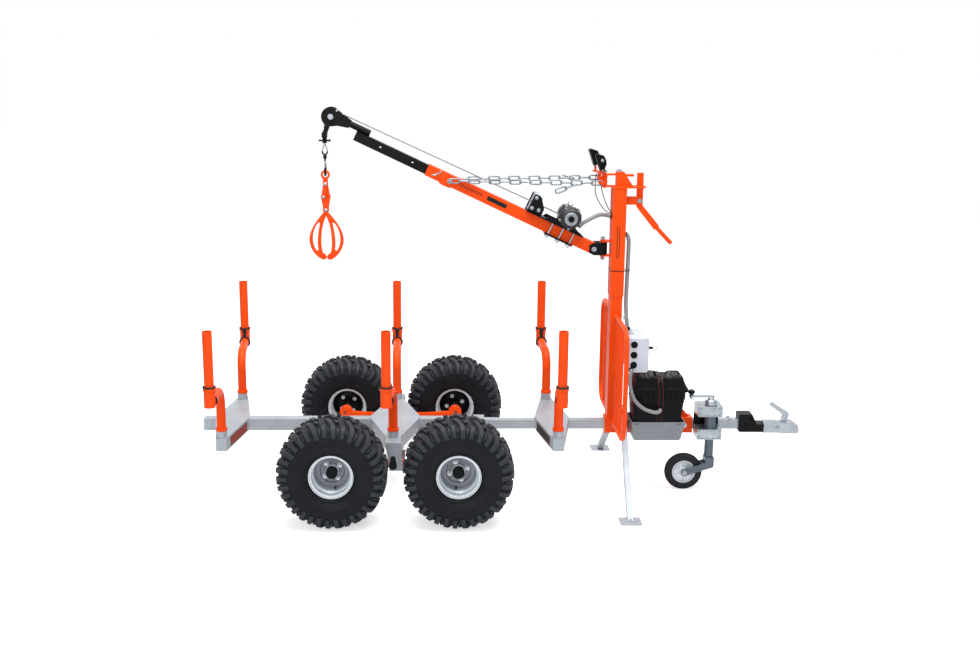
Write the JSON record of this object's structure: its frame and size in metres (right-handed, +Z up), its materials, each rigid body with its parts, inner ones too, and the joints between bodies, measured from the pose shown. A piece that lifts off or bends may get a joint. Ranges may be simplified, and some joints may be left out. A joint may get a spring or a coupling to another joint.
{
  "type": "quad-bike forestry trailer with hand crane",
  "caption": "Tandem-bogie log trailer on low-pressure tyres with six stakes, headboard, slewing telescopic winch crane, log tongs, battery box, jockey wheel and folding legs.",
  "frame": {"origin": "on the ground, under the centre of the trailer's overall box", "axes": "+X forward to the coupling, +Y to the trailer's left, +Z up"},
  "size_m": [3.26, 1.47, 2.0541],
  "materials": {
    "galvanised": "hot-dip galvanised steel, dull spangle",
    "orange_powder": "orange powder coat, satin gloss",
    "black_powder": "black powder coat, satin",
    "zinc_plated": "bright zinc plate",
    "tyre_rubber": "black tyre rubber",
    "rim_steel": "silver-galvanised pressed rim",
    "box_white": "pale grey-white moulded box",
    "box_black": "black moulded plastic",
    "conduit_grey": "grey ribbed conduit",
    "wire_rope": "stranded steel rope",
    "winch_cast": "dark cast winch housing"
  },
  "bodies": {
    "chassis": {"main_beam": "galvanised", "drawbar": "galvanised", "bunks": "galvanised", "stake_arms": "orange_powder", "stake_uppers": "orange_powder", "axle_beam": "galvanised", "mast_base": "orange_powder", "mast_column": "orange_powder", "mast_head": "orange_powder", "headboard": "orange_powder", "control_box": "box_white", "battery_tray": "galvanised", "battery_box": "box_black", "jockey_clamp": "zinc_plated", "jockey_tube": "zinc_plated", "coupling_adapter": "black_powder", "coupling_head": "zinc_plated", "chassis_conduits": "conduit_grey"},
    "bogie_right": {"bogie_right": "orange_powder"},
    "bogie_left": {"bogie_left": "orange_powder"},
    "wheel_rear_right": {"tyre_rear_right": "tyre_rubber", "rim_rear_right": "rim_steel"},
    "wheel_front_right": {"tyre_front_right": "tyre_rubber", "rim_front_right": "rim_steel"},
    "wheel_rear_left": {"tyre_rear_left": "tyre_rubber", "rim_rear_left": "rim_steel"},
    "wheel_front_left": {"tyre_front_left": "tyre_rubber", "rim_front_left": "rim_steel"},
    "leg_right": {"leg_right": "galvanised"},
    "leg_left": {"leg_left": "galvanised"},
    "jockey_fork": {"jockey_fork": "galvanised"},
    "jockey_wheel": {"jockey_tyre": "tyre_rubber", "jockey_rim": "zinc_plated"},
    "lock_lever": {"lock_lever": "orange_powder"},
    "crane": {"slew_bracket": "black_powder", "slew_lug": "orange_powder", "stay_chains": "zinc_plated", "boom_outer": "orange_powder", "winch_mount": "black_powder", "winch": "winch_cast", "fairlead": "zinc_plated", "rope_run": "wire_rope", "work_lights": "box_black", "winch_conduit": "conduit_grey", "lamp_leads": "box_black"},
    "boom_inner": {"boom_inner": "black_powder", "rope_head": "wire_rope"},
    "sheave": {"sheave": "black_powder"},
    "rope_guide": {"rope_guide": "black_powder"},
    "rope_eye": {"rope_eye": "wire_rope"},
    "grapple": {"snap_hook": "black_powder", "grapple_head": "orange_powder"},
    "link_front": {"link_front": "orange_powder"},
    "link_rear": {"link_rear": "orange_powder"},
    "tong_pin": {"tong_pin": "zinc_plated"},
    "tong_front": {"tong_front": "orange_powder"},
    "tong_rear": {"tong_rear": "orange_powder"}
  },
  "joints": [
    {"name": "bogie_right_rock", "type": "hinge", "parent": "chassis", "child": "bogie_right", "pos_m": [-0.565, -0.415, 0.262], "axis": [0, 1, 0], "range_deg": [-10, 10]},
    {"name": "wheel_rear_right_spin", "type": "hinge", "parent": "bogie_right", "child": "wheel_rear_right", "pos_m": [-0.882, -0.6, 0.28], "axis": [0, 1, 0], "continuous": true},
    {"name": "wheel_front_right_spin", "type": "hinge", "parent": "bogie_right", "child": "wheel_front_right", "pos_m": [-0.248, -0.6, 0.28], "axis": [0, 1, 0], "continuous": true},
    {"name": "bogie_left_rock", "type": "hinge", "parent": "chassis", "child": "bogie_left", "pos_m": [-0.565, 0.415, 0.262], "axis": [0, 1, 0], "range_deg": [-10, 10]},
    {"name": "wheel_rear_left_spin", "type": "hinge", "parent": "bogie_left", "child": "wheel_rear_left", "pos_m": [-0.882, 0.6, 0.28], "axis": [0, 1, 0], "continuous": true},
    {"name": "wheel_front_left_spin", "type": "hinge", "parent": "bogie_left", "child": "wheel_front_left", "pos_m": [-0.248, 0.6, 0.28], "axis": [0, 1, 0], "continuous": true},
    {"name": "leg_right_fold", "type": "hinge", "parent": "chassis", "child": "leg_right", "pos_m": [0.648, -0.118, 0.405], "axis": [-1, 0, 0], "range_deg": [0, 75]},
    {"name": "leg_left_fold", "type": "hinge", "parent": "chassis", "child": "leg_left", "pos_m": [0.648, 0.118, 0.405], "axis": [1, 0, 0], "range_deg": [0, 75]},
    {"name": "jockey_lift", "type": "slide", "parent": "chassis", "child": "jockey_fork", "axis": [0, 0, 1], "range_m": [0, 0.08]},
    {"name": "jockey_wheel_spin", "type": "hinge", "parent": "jockey_fork", "child": "jockey_wheel", "pos_m": [0.988, -0.1, 0.102], "axis": [0, 1, 0], "continuous": true},
    {"name": "lock_lever_pull", "type": "hinge", "parent": "chassis", "child": "lock_lever", "pos_m": [0.711, 0, 1.566], "axis": [0, 1, 0], "range_deg": [0, 12]},
    {"name": "crane_slew", "type": "hinge", "parent": "chassis", "child": "crane", "pos_m": [0.525, 0, 1.314], "axis": [0, 0, 1], "range_deg": [-75, 75]},
    {"name": "boom_extend", "type": "slide", "parent": "crane", "child": "boom_inner", "axis": [-0.9041, 0, 0.4274], "range_m": [-0.3, 0]},
    {"name": "sheave_spin", "type": "hinge", "parent": "boom_inner", "child": "sheave", "pos_m": [-0.90547, 0, 2.00415], "axis": [0, 1, 0], "continuous": true},
    {"name": "guide_swing", "type": "hinge", "parent": "boom_inner", "child": "rope_guide", "pos_m": [-0.90547, 0, 2.00415], "axis": [0, 1, 0], "range_deg": [-18, 18]},
    {"name": "hoist", "type": "slide", "parent": "rope_guide", "child": "rope_eye", "axis": [0, 0, 1], "range_m": [-0.83, 0]},
    {"name": "grapple_turn", "type": "hinge", "parent": "rope_eye", "child": "grapple", "pos_m": [-0.9405, 0, 1.79], "axis": [0, 0, 1], "continuous": true},
    {"name": "tongs_open", "type": "hinge", "parent": "grapple", "child": "link_front", "pos_m": [-0.9405, 0, 1.65593], "axis": [0, 1, 0], "range_deg": [0, 22]},
    {"name": "link_rear_open", "type": "hinge", "parent": "grapple", "child": "link_rear", "pos_m": [-0.9405, 0, 1.65593], "axis": [0, -1, 0], "range_deg": [0, 22.5]},
    {"name": "tong_pin_rise", "type": "slide", "parent": "grapple", "child": "tong_pin", "axis": [0, 0, 1], "range_m": [0, 0.01947]},
    {"name": "tong_front_open", "type": "hinge", "parent": "tong_pin", "child": "tong_front", "pos_m": [-0.9405, 0, 1.518], "axis": [0, -1, 0], "range_deg": [0, 22.5]},
    {"name": "tong_rear_open", "type": "hinge", "parent": "tong_pin", "child": "tong_rear", "pos_m": [-0.9405, 0, 1.518], "axis": [0, 1, 0], "range_deg": [0, 22.5]}
  ],
  "couplings": [
    {"joint": "link_rear_open", "follows": "tongs_open", "ratio": 1},
    {"joint": "tong_pin_rise", "follows": "tongs_open", "m_per_rad": 0.049571},
    {"joint": "tong_front_open", "follows": "tongs_open", "ratio": 1},
    {"joint": "tong_rear_open", "follows": "tongs_open", "ratio": 1}
  ]
}
